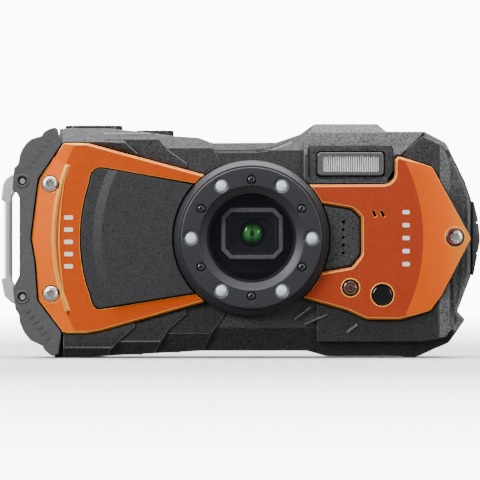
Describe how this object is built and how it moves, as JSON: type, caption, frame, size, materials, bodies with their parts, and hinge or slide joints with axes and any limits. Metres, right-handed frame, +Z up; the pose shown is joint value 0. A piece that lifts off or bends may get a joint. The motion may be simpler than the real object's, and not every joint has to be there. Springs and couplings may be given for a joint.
{
  "type": "rugged compact camera",
  "caption": "Rugged waterproof compact camera with a round macro-lamp lens ring, metal face plates, grip, strap bar and flash.",
  "frame": {"origin": "centre of the camera's base, on the surface that it stands on", "axes": "+X to the right seen from the front, +Y from the lens side to the monitor side, +Z up"},
  "size_m": [0.1262, 0.0296, 0.0614],
  "materials": {
    "shell_plastic": "fine-textured black moulded plastic",
    "inner_plastic": "plain black inner moulding",
    "orange_metal": "metallic orange satin paint with bright bevelled edges",
    "grip_leather": "leather-grain soft moulded panel",
    "guard_rubber": "matte grey rubber",
    "seal_rubber": "black sealing rubber",
    "ring_metal": "satin dark grey anodised ring",
    "clear_glass": "clear polished glass",
    "coated_glass": "green-coated lens glass",
    "led_lens": "frosted white lamp dome",
    "polished_steel": "polished stainless steel",
    "reflector": "bright metallised reflector",
    "amber_lamp": "dark amber lamp lens",
    "dark_window": "gloss black infrared window",
    "screen_glass": "gloss black monitor window",
    "socket_brass": "turned brass",
    "board_green": "green circuit board",
    "cell_wrap": "dark battery case",
    "card_blue": "blue memory card case",
    "button_plastic": "satin black button plastic"
  },
  "bodies": {
    "root": {"battery": "cell_wrap", "body_gasket": "seal_rubber", "door_hinge_pin": "polished_steel", "flash_reflector": "reflector", "flash_window": "clear_glass", "front_lens_element": "coated_glass", "front_shell": "shell_plastic", "grip_panel": "grip_leather", "image_sensor": "board_green", "left_face_plate": "orange_metal", "lens_base_ring": "ring_metal", "lens_glass": "clear_glass", "lens_housing": "inner_plastic", "lens_mask": "inner_plastic", "lens_ring_cover": "ring_metal", "macro_led_1": "led_lens", "macro_led_2": "led_lens", "macro_led_3": "led_lens", "macro_led_4": "led_lens", "macro_led_5": "led_lens", "macro_led_6": "led_lens", "main_board": "board_green", "memory_card": "card_blue", "monitor_panel": "screen_glass", "monitor_window": "screen_glass", "plate_screw_1": "polished_steel", "plate_screw_2": "polished_steel", "plate_screw_3": "polished_steel", "prism": "clear_glass", "rear_shell": "shell_plastic", "remote_window": "dark_window", "right_face_plate": "orange_metal", "ring_screw_1": "polished_steel", "ring_screw_2": "polished_steel", "ring_screw_3": "polished_steel", "ring_screw_4": "polished_steel", "ring_screw_5": "polished_steel", "ring_screw_6": "polished_steel", "side_guard": "guard_rubber", "speaker_panel": "shell_plastic", "strap_bar": "polished_steel", "strap_pin_1": "polished_steel", "strap_pin_2": "polished_steel", "timer_lamp": "amber_lamp", "tripod_socket": "socket_brass"},
    "shutter": {"shutter_button": "polished_steel"},
    "power": {"power_button": "button_plastic"},
    "zoom_rocker": {"zoom_rocker": "button_plastic"},
    "playback": {"playback_button": "button_plastic"},
    "movie": {"movie_button": "button_plastic"},
    "menu": {"menu_button": "button_plastic"},
    "function": {"function_button": "button_plastic"},
    "ok": {"ok_button": "button_plastic"},
    "pad_gimbal": {"pad_gimbal": "polished_steel"},
    "four_way_pad": {"four_way_pad": "button_plastic"},
    "battery_door": {"battery_door": "shell_plastic"},
    "door_lock": {"door_lock": "button_plastic"},
    "terminal_cover": {"terminal_cover": "guard_rubber"},
    "zoom_group": {"zoom_group": "inner_plastic"},
    "focus_group": {"focus_group": "inner_plastic"}
  },
  "joints": [
    {"name": "shutter_press", "type": "slide", "parent": "root", "child": "shutter", "axis": [0, 0, -1], "range_m": [0, 0.0007], "stiffness_N_per_m": 1500, "springref_m": -0.0004},
    {"name": "power_press", "type": "slide", "parent": "root", "child": "power", "axis": [0, 0, -1], "range_m": [0, 0.0005], "stiffness_N_per_m": 1500, "springref_m": -0.0004},
    {"name": "zoom_rock", "type": "hinge", "parent": "root", "child": "zoom_rocker", "pos_m": [-0.0385, 0.0106, 0.0495], "axis": [0, 0, 1], "range_deg": [-1.6, 1.6], "stiffness_Nm_per_rad": 0.05},
    {"name": "playback_press", "type": "slide", "parent": "root", "child": "playback", "axis": [0, -1, 0], "range_m": [0, 0.0005], "stiffness_N_per_m": 1200, "springref_m": -0.0003},
    {"name": "movie_press", "type": "slide", "parent": "root", "child": "movie", "axis": [0, -1, 0], "range_m": [0, 0.0005], "stiffness_N_per_m": 1200, "springref_m": -0.0003},
    {"name": "menu_press", "type": "slide", "parent": "root", "child": "menu", "axis": [0, -1, 0], "range_m": [0, 0.0005], "stiffness_N_per_m": 1200, "springref_m": -0.0003},
    {"name": "function_press", "type": "slide", "parent": "root", "child": "function", "axis": [0, -1, 0], "range_m": [0, 0.0005], "stiffness_N_per_m": 1200, "springref_m": -0.0003},
    {"name": "ok_press", "type": "slide", "parent": "root", "child": "ok", "axis": [0, -1, 0], "range_m": [0, 0.0003], "stiffness_N_per_m": 1200, "springref_m": -0.0003},
    {"name": "pad_tilt_updown", "type": "hinge", "parent": "root", "child": "pad_gimbal", "pos_m": [-0.033, 0.0091, 0.027], "axis": [1, 0, 0], "range_deg": [-1.5, 1.5], "stiffness_Nm_per_rad": 0.05},
    {"name": "pad_tilt_sideways", "type": "hinge", "parent": "pad_gimbal", "child": "four_way_pad", "pos_m": [-0.033, 0.0091, 0.027], "axis": [0, 0, 1], "range_deg": [-1.5, 1.5], "stiffness_Nm_per_rad": 0.05},
    {"name": "battery_door_hinge", "type": "hinge", "parent": "root", "child": "battery_door", "pos_m": [0, 0.0093, 0.0019], "axis": [1, 0, 0], "range_deg": [0, 95]},
    {"name": "door_lock_slide", "type": "slide", "parent": "battery_door", "child": "door_lock", "axis": [0, 1, 0], "range_m": [0, 0.002]},
    {"name": "terminal_cover_hinge", "type": "hinge", "parent": "root", "child": "terminal_cover", "pos_m": [0.0617, 0.0086, 0.031], "axis": [0, 0, 1], "range_deg": [0, 105]},
    {"name": "zoom_travel", "type": "slide", "parent": "root", "child": "zoom_group", "axis": [1, 0, 0], "range_m": [0, 0.014]},
    {"name": "focus_travel", "type": "slide", "parent": "root", "child": "focus_group", "axis": [1, 0, 0], "range_m": [0, 0.004]}
  ]
}
